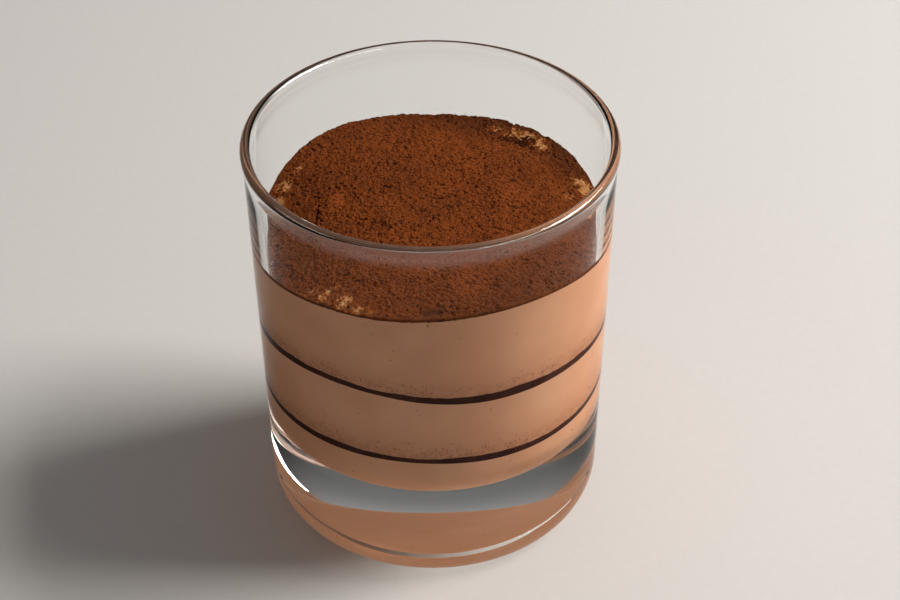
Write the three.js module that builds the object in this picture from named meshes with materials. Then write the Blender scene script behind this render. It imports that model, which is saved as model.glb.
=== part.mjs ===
// Glass of tiramisu: a heavy tumbler filled with three bands of mascarpone cream, two thin dark
// cocoa lines between the bands, and a gently domed top under a thick coat of cocoa powder.
// Millimetres, +Z up, origin at the middle of the glass's underside. Bearings run from the front
// (-Y) towards the right (+X).
import * as THREE from 'three';

// ---- Driving dimensions of the tumbler ----
const HEIGHT = 97;
const RIM_RADIUS = 42; // outside of the rounded lip
const LIP_BULGE = 0.4; // how far the lip stands outside the straight wall
const LIP_BLEND = 3.2; // height over which the wall swells into the lip
const BASE_RADIUS = 38.5; // the straight outer wall carried down to the table
const WALL_AT_FLOOR = 3.5;
const WALL_AT_LIP = 2;
const CAVITY_FLOOR = 24;
const FLOOR_FILLET = 8;
const HEEL_WIDTH = 6;
const HEEL_HEIGHT = 9.2;
const RECESS_RADIUS = 31; // domed hollow under the foot
const RECESS_DEPTH = 4.2;
const STEP_RADIUS = 25; // a small step in the hollow, seen as a fine line round the base
const STEP_RISE = 0.35;
const STEP_RUN = 0.3;

// ---- Driving dimensions of the dessert ----
const GAP = 0.3; // between neighbouring pieces
const LINE_THICKNESS = 1.6;
const COCOA_AT_MIDDLE = 1.6;
const COCOA_AT_WALL = 0.7;
const COCOA_THINNING = 4; // higher keeps the cocoa thick until nearer the wall
const CROWN_HEIGHT = 80.3; // middle of the domed top
const CROWN_FULLNESS = 2.4; // higher keeps the top flat until nearer the wall
const MOAT = { radius: 32, width: 4.5, depth: 1.3, bearing: 140, spread: 55 };

// Heights along the wall: a mean level and a few slow waves, each written as
// [waves round the wall, height, bearing of a crest in degrees].
const LOWER_LINE = { level: 35.2, waves: [[1, 0.18, 29], [2, 0.4, -15], [3, 0.3, -18]] };
const UPPER_LINE = { level: 52.7, waves: [[1, 0.98, -40], [2, 1.4, -9], [3, 0.45, -44], [4, 0.45, -41]] };
const COCOA_EDGE = { level: 76.2, waves: [[1, 1.35, 145], [2, 1.75, 9], [3, 0.7, 0], [4, 0.8, 44]] };

// Low lumps and dents in the cocoa, scattered by a seeded draw.
const LUMPS = { seed: 7, count: 90, highest: 0.55, smallest: 2.2, largest: 4.5 };

const ROUND_STEPS = 64;

// ---- Shapes of the tumbler ----
const outerRadius = (z) => BASE_RADIUS + ((RIM_RADIUS - LIP_BULGE - BASE_RADIUS) * z) / HEIGHT;

function wallThickness(z) {
  const climb = THREE.MathUtils.clamp((z - CAVITY_FLOOR) / (HEIGHT - CAVITY_FLOOR), 0, 1);
  return THREE.MathUtils.lerp(WALL_AT_FLOOR, WALL_AT_LIP, climb);
}

const innerRadius = (z) => outerRadius(z) - wallThickness(z);

// Points of an elliptical arc in the radius-height plane, from one angle to another, in degrees.
function arc(centreRadius, centreHeight, halfWidth, halfHeight, from, to, steps) {
  return Array.from({ length: steps + 1 }, (_, i) => {
    const angle = THREE.MathUtils.degToRad(THREE.MathUtils.lerp(from, to, i / steps));
    return [centreRadius + halfWidth * Math.cos(angle), centreHeight + halfHeight * Math.sin(angle)];
  });
}

// Heights spread evenly between two levels, without the levels themselves.
const between = (low, high, count) =>
  Array.from({ length: count }, (_, i) => low + ((high - low) * (i + 1)) / (count + 1));

// The cavity's rounded bottom corner, drawn inwards by an offset, from the wall down to the floor.
function floorCorner(offset, steps) {
  const top = CAVITY_FLOOR + FLOOR_FILLET;
  const reach = FLOOR_FILLET - offset;
  return arc(innerRadius(top) - FLOOR_FILLET, top, reach, reach, 0, -90, steps);
}

// Part of the domed hollow under the foot, between two radii and raised by a step.
function recess(from, to, rise, steps) {
  return Array.from({ length: steps + 1 }, (_, i) => {
    const radius = THREE.MathUtils.lerp(from, to, i / steps);
    return [radius, rise + RECESS_DEPTH * (1 - (radius / RECESS_RADIUS) ** 2)];
  });
}

function tumblerProfile() {
  const heelRadius = outerRadius(HEEL_HEIGHT) - HEEL_WIDTH;
  const lipHalf = (RIM_RADIUS - innerRadius(HEIGHT)) / 2;
  const lipCentre = HEIGHT - lipHalf;
  const wallTop = lipCentre - LIP_BLEND;
  const cavityTop = CAVITY_FLOOR + FLOOR_FILLET;
  return [
    ...recess(0, STEP_RADIUS, STEP_RISE, 5),
    ...recess(STEP_RADIUS + STEP_RUN, RECESS_RADIUS, 0, 2),
    ...arc(heelRadius, HEEL_HEIGHT, HEEL_WIDTH, HEEL_HEIGHT, -90, 0, 6),
    [outerRadius(wallTop), wallTop],
    ...arc(RIM_RADIUS - lipHalf, lipCentre, lipHalf, lipHalf, 0, 180, 6),
    ...between(cavityTop, lipCentre, 5).reverse().map((z) => [innerRadius(z), z]),
    ...floorCorner(0, 6),
    [0, CAVITY_FLOOR],
  ];
}

// ---- Shapes of the dessert ----
const wavesAt = ({ level, waves }, bearing) =>
  waves.reduce((sum, [count, height, crest]) => {
    return sum + height * Math.cos(count * (bearing - THREE.MathUtils.degToRad(crest)));
  }, level);

// A level inside the dessert: wavy at the wall, settling to its mean height at the middle.
function levelAt(edge, radius, bearing) {
  const share = radius / innerRadius(edge.level);
  return THREE.MathUtils.lerp(edge.level, wavesAt(edge, bearing), share ** 2);
}

function moatAt(radius, bearing) {
  const away = Math.atan2(
    Math.sin(bearing - THREE.MathUtils.degToRad(MOAT.bearing)),
    Math.cos(bearing - THREE.MathUtils.degToRad(MOAT.bearing)),
  );
  const across = Math.exp(-(((radius - MOAT.radius) / MOAT.width) ** 2));
  const along = Math.exp(-((THREE.MathUtils.radToDeg(away) / MOAT.spread) ** 2));
  return -MOAT.depth * across * along;
}

// The top of the cocoa without its lumps: a broad dome that falls to just over the wavy line where
// the cocoa and the cream meet at the wall.
function crownAt(radius, bearing) {
  const share = radius / innerRadius(COCOA_EDGE.level);
  const edge = wavesAt(COCOA_EDGE, bearing) + COCOA_AT_WALL;
  return CROWN_HEIGHT - (CROWN_HEIGHT - edge) * share ** CROWN_FULLNESS + moatAt(radius, bearing);
}

// A repeatable stream of numbers from 0 to 1.
function randomStream(seed) {
  let state = seed;
  return () => {
    state = (state * 48271) % 2147483647;
    return state / 2147483647;
  };
}

function scatterLumps() {
  const draw = randomStream(LUMPS.seed);
  const reach = innerRadius(COCOA_EDGE.level) - LUMPS.largest;
  return Array.from({ length: LUMPS.count }, () => {
    const radius = reach * Math.sqrt(draw());
    const bearing = 2 * Math.PI * draw();
    const size = THREE.MathUtils.lerp(LUMPS.smallest, LUMPS.largest, draw());
    const height = LUMPS.highest * (2 * draw() - 1);
    return { x: radius * Math.sin(bearing), y: -radius * Math.cos(bearing), size, height };
  });
}

const lumps = scatterLumps();

function lumpsAt(radius, bearing) {
  const x = radius * Math.sin(bearing);
  const y = -radius * Math.cos(bearing);
  const sum = lumps.reduce((total, lump) => {
    const apart = ((x - lump.x) ** 2 + (y - lump.y) ** 2) / lump.size ** 2;
    return total + lump.height * Math.exp(-apart);
  }, 0);
  return THREE.MathUtils.clamp(sum, -LUMPS.highest, LUMPS.highest);
}

// Radii of the rings that carry a surface from the middle to the wall.
const rings = (count) => Array.from({ length: count }, (_, i) => (i + 1) / (count + 1));

// A profile's row of points on a surface, from the axis outwards to the wall.
function surfaceRow(heightAt, bearing, ringCount) {
  const wall = (z) => innerRadius(z) - GAP;
  const edgeHeight = heightAt(wall(heightAt(innerRadius(HEIGHT / 2), bearing)), bearing);
  const edge = wall(edgeHeight);
  const inside = rings(ringCount).map((share) => [share * edge, heightAt(share * edge, bearing)]);
  return [[0, heightAt(0, 0)], ...inside, [edge, heightAt(edge, bearing)]];
}

// A disc of the dessert between two surfaces, with the wall's slope on its side.
function layerProfile(lower, upper, lowerRings, upperRings, sideSteps) {
  return (bearing) => {
    const bottom = surfaceRow(lower, bearing, lowerRings);
    const top = surfaceRow(upper, bearing, upperRings);
    const low = bottom.at(-1)[1];
    const high = top.at(-1)[1];
    const side = between(low, high, sideSteps).map((z) => [innerRadius(z) - GAP, z]);
    return [...bottom, ...side, ...top.reverse()];
  };
}

// The bottom band fills the cavity's rounded corner.
function bottomBandProfile(upper) {
  return (bearing) => {
    const corner = floorCorner(GAP, 6).reverse();
    return [[0, CAVITY_FLOOR + GAP], ...corner, ...surfaceRow(upper, bearing, 2).reverse()];
  };
}

// A closed body turned about the axis. profileAt(bearing) lists [radius, height] from the lower end
// of the axis, out and up the side, to the upper end of the axis.
function turned(profileAt) {
  const columns = Array.from({ length: ROUND_STEPS }, (_, i) => {
    const bearing = (2 * Math.PI * i) / ROUND_STEPS;
    const points = profileAt(bearing).slice(1, -1);
    return points.map(([radius, z]) => [radius * Math.sin(bearing), -radius * Math.cos(bearing), z]);
  });
  const ends = profileAt(0);
  const rows = columns[0].length;
  const bottom = ROUND_STEPS * rows;
  const top = bottom + 1;
  const positions = [...columns.flat(), [0, 0, ends[0][1]], [0, 0, ends.at(-1)[1]]].flat();
  const faces = [];
  for (let i = 0; i < ROUND_STEPS; i += 1) {
    const here = i * rows;
    const next = ((i + 1) % ROUND_STEPS) * rows;
    faces.push(bottom, next, here);
    for (let j = 0; j < rows - 1; j += 1) {
      faces.push(here + j, next + j, next + j + 1);
      faces.push(here + j, next + j + 1, here + j + 1);
    }
    faces.push(top, here + rows - 1, next + rows - 1);
  }
  const geometry = new THREE.BufferGeometry();
  geometry.setAttribute('position', new THREE.Float32BufferAttribute(positions, 3));
  geometry.setIndex(faces);
  geometry.computeVertexNormals();
  return geometry;
}

// ---- Finishes ----
const glass = new THREE.MeshStandardMaterial({
  color: 0xf2f6f5,
  roughness: 0.02,
  metalness: 0,
  transparent: true,
  opacity: 0.3,
});
const cream = new THREE.MeshStandardMaterial({ color: 0xd9b592, roughness: 0.55, metalness: 0 });
const wetCocoa = new THREE.MeshStandardMaterial({ color: 0x3a1810, roughness: 0.5, metalness: 0 });
const cocoaPowder = new THREE.MeshStandardMaterial({ color: 0x5a3219, roughness: 0.95, metalness: 0 });

// ---- Assembly ----
function piece(name, profileAt, material) {
  const mesh = new THREE.Mesh(turned(profileAt), material);
  mesh.name = name;
  return mesh;
}

// Surfaces of a thin line: its own two faces, and the cream's faces a gap away from them.
function lineSurfaces(edge) {
  const shifted = (shift) => (radius, bearing) => levelAt(edge, radius, bearing) + shift;
  const half = LINE_THICKNESS / 2;
  return {
    creamBelow: shifted(-half - GAP),
    underside: shifted(-half),
    topside: shifted(half),
    creamAbove: shifted(half + GAP),
  };
}

const lowerLine = lineSurfaces(LOWER_LINE);
const upperLine = lineSurfaces(UPPER_LINE);
const cocoaUnderside = (radius, bearing) => {
  const share = radius / innerRadius(COCOA_EDGE.level);
  const thickness = THREE.MathUtils.lerp(COCOA_AT_MIDDLE, COCOA_AT_WALL, share ** COCOA_THINNING);
  return crownAt(radius, bearing) - thickness;
};
const cocoaTopside = (radius, bearing) => {
  const share = radius / innerRadius(COCOA_EDGE.level);
  return crownAt(radius, bearing) + lumpsAt(radius, bearing) * (1 - share ** 6);
};
const creamCrown = (radius, bearing) => cocoaUnderside(radius, bearing) - GAP;

const group = new THREE.Group();
group.add(
  piece('glass', tumblerProfile, glass),
  piece('cream_bottom', bottomBandProfile(lowerLine.creamBelow), cream),
  piece('cocoa_line_lower', layerProfile(lowerLine.underside, lowerLine.topside, 2, 2, 0), wetCocoa),
  piece('cream_middle', layerProfile(lowerLine.creamAbove, upperLine.creamBelow, 2, 2, 1), cream),
  piece('cocoa_line_upper', layerProfile(upperLine.underside, upperLine.topside, 2, 2, 0), wetCocoa),
  piece('cream_top', layerProfile(upperLine.creamAbove, creamCrown, 2, 7, 2), cream),
  piece('cocoa_top', layerProfile(cocoaUnderside, cocoaTopside, 7, 15, 0), cocoaPowder),
);

export default group;
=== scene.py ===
"""Looks for a glass of tiramisu: a clear heavy tumbler, three bands of mascarpone cream parted by dark
cocoa seams, and a domed top under a thick coat of cocoa powder. Metres, +Z up, origin at the middle of
the glass's underside. Bearings run from the front (-Y) towards the right (+X)."""
import math

import bpy
import numpy as np
from mathutils import Matrix, Vector


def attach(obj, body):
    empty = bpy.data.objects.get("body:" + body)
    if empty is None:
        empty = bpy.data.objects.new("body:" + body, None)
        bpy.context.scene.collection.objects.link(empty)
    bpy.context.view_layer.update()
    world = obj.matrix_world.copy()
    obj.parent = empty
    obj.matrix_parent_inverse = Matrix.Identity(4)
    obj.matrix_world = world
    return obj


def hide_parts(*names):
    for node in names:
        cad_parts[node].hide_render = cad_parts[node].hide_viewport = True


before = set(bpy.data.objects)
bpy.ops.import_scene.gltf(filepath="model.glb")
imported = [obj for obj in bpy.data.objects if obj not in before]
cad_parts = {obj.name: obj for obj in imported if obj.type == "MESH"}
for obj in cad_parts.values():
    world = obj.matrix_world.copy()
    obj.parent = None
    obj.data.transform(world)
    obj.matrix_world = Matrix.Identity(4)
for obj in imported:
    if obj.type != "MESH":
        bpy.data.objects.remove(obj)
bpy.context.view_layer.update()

MM = 0.001

# ---- Sizes of the tumbler, as in the solids ----
HEIGHT = 97 * MM
RIM_RADIUS = 42 * MM
LIP_BULGE = 0.4 * MM
LIP_BLEND = 3.2 * MM
BASE_RADIUS = 38.5 * MM
WALL_AT_FLOOR = 3.5 * MM
WALL_AT_LIP = 2 * MM
CAVITY_FLOOR = 24 * MM
FLOOR_FILLET = 8 * MM
HEEL_WIDTH = 6 * MM
HEEL_HEIGHT = 9.2 * MM
RECESS_RADIUS = 31 * MM
RECESS_DEPTH = 4.2 * MM
STEP_RADIUS = 25 * MM
STEP_RISE = 0.35 * MM
STEP_RUN = 0.3 * MM
EDGE_SOFTNESS = 0.25 * MM  # how far the recess's edge is rounded off

# ---- Sizes of the dessert, as in the solids ----
# A wave is (how many round the glass, rise in millimetres, bearing of a crest in degrees).
LOWER_LEVEL = {"level": 35.2 * MM, "waves": [(1, 0.18, 29), (2, 0.4, -15), (3, 0.3, -18)]}
UPPER_LEVEL = {
    "level": 52.7 * MM, "waves": [(1, 0.98, -40), (2, 1.4, -9), (3, 0.45, -44), (4, 0.45, -41)],
}
COCOA_EDGE = {
    "level": 76.2 * MM, "waves": [(1, 1.35, 145), (2, 1.75, 9), (3, 0.7, 0), (4, 0.8, 44)],
}
CROWN_HEIGHT = 80.3 * MM
CROWN_FULLNESS = 2.4
MOAT = {"radius": 32 * MM, "width": 4.5 * MM, "depth": 1.3 * MM, "bearing": 140, "spread": 55}
COCOA_AT_MIDDLE = 1.6 * MM
COCOA_AT_WALL = 0.7 * MM
LUMPS = {"seed": 7, "count": 90, "highest": 0.55 * MM, "smallest": 2.2 * MM, "largest": 4.5 * MM}
LUMP_FULLNESS = 6  # how close to the wall the lumps keep their height
COVER_FULLNESS = 4  # how close to the wall the cocoa keeps its thickness

# ---- Marks in the cocoa ----
# Places where the cocoa is thin and the cream shows through, in millimetres: x, y, reach and strength.
BARE_PATCHES = [
    (-18.5, -31.2, 2.6, 0.85), (-21.6, -28.6, 2.4, 0.85), (-15.0, -33.6, 2.2, 0.7), (-24.5, -26.6, 2.2, 0.6),
    (-19.8, -27.6, 2.0, 0.55), (-12.6, -35.4, 1.4, 0.65),
    (36.0, 6.2, 3.2, 1.0), (33.6, 11.6, 2.8, 0.9), (36.2, 1.4, 2.6, 0.9), (31.6, 6.2, 2.0, 0.6),
    (36.8, 4.0, 2.4, 1.05), (35.2, 9.4, 2.2, 1.0),
    (18.6, 29.6, 2.8, 0.9), (22.2, 27.6, 2.8, 1.0), (25.6, 25.2, 2.6, 0.9), (15.6, 32.0, 2.0, 0.75),
    (-35.2, 6.4, 2.6, 0.9), (-33.8, 11.4, 2.6, 0.95), (-30.8, 16.0, 2.4, 0.8), (-34.6, 1.4, 1.8, 0.6),
    (10.0, -35.5, 1.2, 0.5),
]
BARE_SINK = 0.25 * MM  # how much lower the cocoa lies where it is bare
# Cracks and dents, in millimetres: from x, y to x, y, half width and depth.
CRACKS = [
    (-25.4, 1.6, -25.7, -2.2, 0.28, 0.9), (-25.7, -2.2, -26.4, -5.6, 0.34, 1.1),
    (-25.7, -2.2, -24.6, -4.0, 0.2, 0.5), (-26.2, -4.8, -27.8, -5.8, 0.2, 0.5),
    (-1.6, -36.9, 2.0, -36.4, 0.55, 0.7), (0.4, -36.2, 2.4, -35.0, 0.4, 0.5),
    (-10.6, 6.4, -9.4, 5.8, 0.32, 0.8), (-11.4, 6.8, -11.0, 6.2, 0.25, 0.6), (3.2, -1.6, 4.4, -2.0, 0.4, 0.6),
    (14.2, -9.7, 16.0, -10.4, 0.25, 0.7), (16.6, -10.4, 17.6, -10.8, 0.22, 0.6),
]
CRACK_SWAY = 0.18  # mm, how far a crack winds from a straight line
# The back of the cocoa, where it clings to the wall, with a shallow groove just inside.
BANK = {"width": 1.1 * MM, "height": 0.15 * MM, "bearing": 138, "spread": 60}
GROOVE_AT = 2.2  # how many of its widths the groove lies in from the wall
GROOVE_SPREAD = 1.5
CLING_DEPTH = 0.9 * MM  # how far in from the wall the ragged edge is felt
DARK_BACK_REACH = 7.5 * MM  # how far in from the wall the back of the cocoa looks darker
# How dark the band along the back wall is.
DARK_AT_BACK = 0.95
SIDE_SHADE = 0.15  # painted shade: how dark the cocoa's edge is where it touches the front of the wall
SIDE_SHADE_REACH = 0.7 * MM
CRACK_SHADE = 1.4  # painted shade: how much darker a crack is for each millimetre of its depth
LOOSE_AT_WALL = 0.6  # share of the relief that is left where the powder touches the wall
LOOSE_REACH = 1.5 * MM

# ---- How finely the pieces are made ----
GLASS_COLUMNS = 384
CREAM_RINGS = 96
CREAM_COLUMNS = 6 * CREAM_RINGS
COCOA_RINGS = 176
COCOA_COLUMNS = 6 * COCOA_RINGS
CREASE = 50  # degrees, the turn past which a cream's edge stays crisp
SINK = 0.15 * MM  # how far the fillings reach into the wall, so that no air shows between them


# ---- Shapes shared by the pieces ----
def outer_radius(z):
    return BASE_RADIUS + (RIM_RADIUS - LIP_BULGE - BASE_RADIUS) * z / HEIGHT


def inner_radius(z):
    climb = np.clip((z - CAVITY_FLOOR) / (HEIGHT - CAVITY_FLOOR), 0, 1)
    return outer_radius(z) - WALL_AT_FLOOR + (WALL_AT_FLOOR - WALL_AT_LIP) * climb


def waves_at(edge, bearing):
    height = edge["level"] + 0 * bearing
    for count, rise, crest in edge["waves"]:
        height = height + rise * MM * np.cos(count * (bearing - math.radians(crest)))
    return height


def crown_at(radius, bearing):
    """The top of the cocoa without its lumps: a broad dome that falls to the wavy line at the wall."""
    share = np.clip(radius / inner_radius(COCOA_EDGE["level"]), 0, 1)
    edge = waves_at(COCOA_EDGE, bearing) + COCOA_AT_WALL
    across = np.exp(-(((radius - MOAT["radius"]) / MOAT["width"]) ** 2))
    moat = MOAT["depth"] * across * beside(MOAT, bearing)
    return CROWN_HEIGHT - (CROWN_HEIGHT - edge) * share**CROWN_FULLNESS - moat


def draw_stream(seed):
    """A repeatable stream of numbers from 0 to 1, the same one that places the solids' lumps."""
    state = seed
    while True:
        state = state * 48271 % 2147483647
        yield state / 2147483647


def lumps_at(radius, bearing):
    draw = draw_stream(LUMPS["seed"])
    reach = inner_radius(COCOA_EDGE["level"]) - LUMPS["largest"]
    x, y = radius * np.sin(bearing), -radius * np.cos(bearing)
    total = 0 * radius
    for _ in range(LUMPS["count"]):
        out = reach * math.sqrt(next(draw))
        turn = 2 * math.pi * next(draw)
        size = LUMPS["smallest"] + (LUMPS["largest"] - LUMPS["smallest"]) * next(draw)
        height = LUMPS["highest"] * (2 * next(draw) - 1)
        apart = ((x - out * math.sin(turn)) ** 2 + (y + out * math.cos(turn)) ** 2) / size**2
        total = total + height * np.exp(-apart)
    share = np.clip(radius / inner_radius(COCOA_EDGE["level"]), 0, 1)
    return np.clip(total, -LUMPS["highest"], LUMPS["highest"]) * (1 - share**LUMP_FULLNESS)


def cracks_at(x, y):
    """How deep the cocoa is cracked or dented, in millimetres."""
    depth = 0 * x
    wobble = CRACK_SWAY * np.sin(2.9 * y / MM + 1.3 * np.sin(1.7 * x / MM))
    for x1, y1, x2, y2, half, deepest in CRACKS:
        px, py = x / MM + wobble - x1, y / MM - y1
        run, rise = x2 - x1, y2 - y1
        along = np.clip((px * run + py * rise) / (run**2 + rise**2), 0, 1)
        apart = np.hypot(px - along * run, py - along * rise) / half
        depth = np.maximum(depth, deepest * np.exp(-(apart**2)))
    return depth


def beside(place, bearing):
    """How near a bearing is to a named place on the wall, from 0 to 1."""
    turn = bearing - math.radians(place["bearing"])
    away = np.degrees(np.arctan2(np.sin(turn), np.cos(turn)))
    return np.exp(-((away / place["spread"]) ** 2))


def bareness_at(x, y):
    bare = 0 * x
    for patch_x, patch_y, reach, strength in BARE_PATCHES:
        apart = ((x / MM - patch_x) ** 2 + (y / MM - patch_y) ** 2) / reach**2
        bare = np.maximum(bare, strength * np.exp(-apart))
    return bare


RAGGED_COUNTS = (7, 11, 17, 26, 37, 53, 71, 97, 131)
RAGGED_FALL = 0.55  # how fast the shorter waves lose height


def ragged(bearing, seed, height):
    """A small uneven wave round the glass, for edges that no spoon made level."""
    draw = np.random.default_rng(seed)
    total = 0 * bearing
    for count in RAGGED_COUNTS:
        phase, lift = draw.uniform(0, 2 * math.pi), draw.uniform(0.4, 1)
        share = (RAGGED_COUNTS[0] / count) ** RAGGED_FALL
        total = total + lift * share * np.cos(count * bearing + phase)
    return height * total / 2


# ---- Mesh building ----
class Skin:
    """Gathers points and faces ring by ring round the axis. Faces point outwards."""

    def __init__(self):
        self.points = []
        self.faces = []

    def _add(self, radius, bearing, height):
        first = len(self.points)
        x, y = radius * np.sin(bearing), -radius * np.cos(bearing)
        flat = np.broadcast_arrays(x, y, height)
        self.points += np.column_stack([np.atleast_1d(part) for part in flat]).tolist()
        return list(range(first, len(self.points)))

    def pole(self, height):
        return self._add(0.0, 0.0, height)[0]

    def ring(self, radius, height, columns):
        return self._add(radius, bearings(columns), height)

    def band(self, low, high):
        for here in range(len(low)):
            after = (here + 1) % len(low)
            self.faces.append((low[here], low[after], high[after], high[here]))

    def fan(self, ring, pole, faces_up):
        for here in range(len(ring)):
            after = (here + 1) % len(ring)
            ends = (ring[here], ring[after]) if faces_up else (ring[after], ring[here])
            self.faces.append((*ends, pole))

    def quilt(self, count, edge, height_at):
        """An even triangulated disc that faces up: ring i has 6 i points. Returns the outermost ring."""
        inner = [self.pole(height_at(np.zeros(1), np.zeros(1))[0])]
        for i in range(1, count + 1):
            bearing = bearings(6 * i)
            radius = edge(bearing) * i / count
            outer = self._add(radius, bearing, height_at(radius, bearing))
            for side in range(6):
                for k in range(i):
                    a, b = outer[side * i + k], outer[(side * i + k + 1) % (6 * i)]
                    c = inner[(side * (i - 1) + k) % len(inner)]
                    self.faces.append((a, b, c))
                    if k < i - 1:
                        d = inner[(side * (i - 1) + k + 1) % len(inner)]
                        self.faces.append((c, b, d))
            inner = outer
        return inner

    def mesh(self, name, crease=None):
        made = bpy.data.meshes.new(name)
        made.from_pydata(self.points, [], self.faces)
        made.shade_smooth()
        if crease:
            made.set_sharp_from_angle(angle=math.radians(crease))
        return made


def bearings(columns):
    return np.arange(columns) * (2 * math.pi / columns)


def places(mesh):
    """Radius, bearing, x, y and height of every vertex."""
    at = np.empty(3 * len(mesh.vertices))
    mesh.vertices.foreach_get("co", at)
    x, y, z = at.reshape(-1, 3).T
    return np.hypot(x, y), np.arctan2(x, -y), x, y, z


def keep_values(mesh, name, values):
    mesh.attributes.new(name, "FLOAT", "POINT").data.foreach_set("value", values.astype(np.float32))


def show(mesh, material=None):
    made = bpy.data.objects.new(mesh.name, mesh)
    bpy.context.scene.collection.objects.link(made)
    if material:
        mesh.materials.append(material)
    return made


# ---- Node trees ----
def node(tree, kind, inputs=None, **settings):
    """Adds a node. Each input takes a number, a colour or another node's output."""
    made = tree.nodes.new(kind)
    for name, value in settings.items():
        setattr(made, name, value)
    for key, value in (inputs or {}).items():
        if isinstance(value, bpy.types.NodeSocket):
            tree.links.new(value, made.inputs[key])
        else:
            made.inputs[key].default_value = value
    return made


def maths(tree, operation, *values):
    return node(tree, "ShaderNodeMath", dict(enumerate(values)), operation=operation).outputs[0]


def vector_maths(tree, operation, *values, output=0):
    return node(tree, "ShaderNodeVectorMath", dict(enumerate(values)), operation=operation).outputs[output]


def remap(tree, value, low, high, to_low=0.0, to_high=1.0):
    ends = {"Value": value, "From Min": low, "From Max": high, "To Min": to_low, "To Max": to_high}
    return node(tree, "ShaderNodeMapRange", ends, interpolation_type="SMOOTHSTEP").outputs["Result"]


def mix_colour(tree, share, first, second):
    mixed = node(tree, "ShaderNodeMix", data_type="RGBA")
    for key, value in ((0, share), (6, first), (7, second)):
        if isinstance(value, bpy.types.NodeSocket):
            tree.links.new(value, mixed.inputs[key])
        else:
            mixed.inputs[key].default_value = (*value, 1) if key else value
    return mixed.outputs[2]


def noise(tree, place, size, detail=3.0, roughness=0.55, seed=0.0):
    inputs = {"Vector": place, "W": seed, "Scale": 1 / size, "Detail": detail, "Roughness": roughness}
    return node(tree, "ShaderNodeTexNoise", inputs, noise_dimensions="4D").outputs[0]


def dots(tree, place, chance, cell, radius, seed):
    """Small round marks, one in each cell that a draw picks. The radius is a share of the cell."""
    shifted = vector_maths(tree, "ADD", place, (seed, 0.0, 0.0))
    made = node(tree, "ShaderNodeTexVoronoi", {"Vector": shifted, "Scale": 1 / cell})
    mark = remap(tree, made.outputs["Distance"], radius, 0.7 * radius)
    drawn = node(tree, "ShaderNodeSeparateColor", {"Color": made.outputs["Color"]}).outputs[0]
    return maths(tree, "MULTIPLY", mark, maths(tree, "LESS_THAN", drawn, chance))


def ridges(tree, pattern):
    """Turns a slow pattern into thin winding lines, 1 on the line."""
    swing = maths(tree, "ABSOLUTE", maths(tree, "MULTIPLY_ADD", pattern, 2.0, -1.0))
    return maths(tree, "SUBTRACT", 1.0, swing)


def group_tree(name, kind, takes, gives):
    tree = bpy.data.node_groups.new(name, kind)
    for direction, sockets in (("INPUT", takes), ("OUTPUT", gives)):
        for label, socket_type in sockets:
            tree.interface.new_socket(label, in_out=direction, socket_type=socket_type)
    return tree, tree.nodes.new("NodeGroupInput").outputs, tree.nodes.new("NodeGroupOutput").inputs


def grow(host, tree, settings):
    """Runs a Geometry Nodes tree on a mesh and returns the result as a plain mesh."""
    carrier = show(host)
    modifier = carrier.modifiers.new(tree.name, "NODES")
    modifier.node_group = tree
    for item in tree.interface.items_tree:
        if item.in_out == "INPUT" and item.name in settings:
            modifier[item.identifier] = settings[item.name]
    carrier.update_tag()
    evaluated = carrier.evaluated_get(bpy.context.evaluated_depsgraph_get())
    made = bpy.data.meshes.new_from_object(evaluated)
    name = host.name
    carrier.modifiers.remove(modifier)
    bpy.data.objects.remove(carrier)
    bpy.data.meshes.remove(host)
    made.name = name
    return made


GEOMETRY = ("Geometry", "NodeSocketGeometry")
FLOAT = "NodeSocketFloat"
PIT_ENDS = (0.56, 0.7)  # where in the noise a pit begins and where it is full


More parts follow.
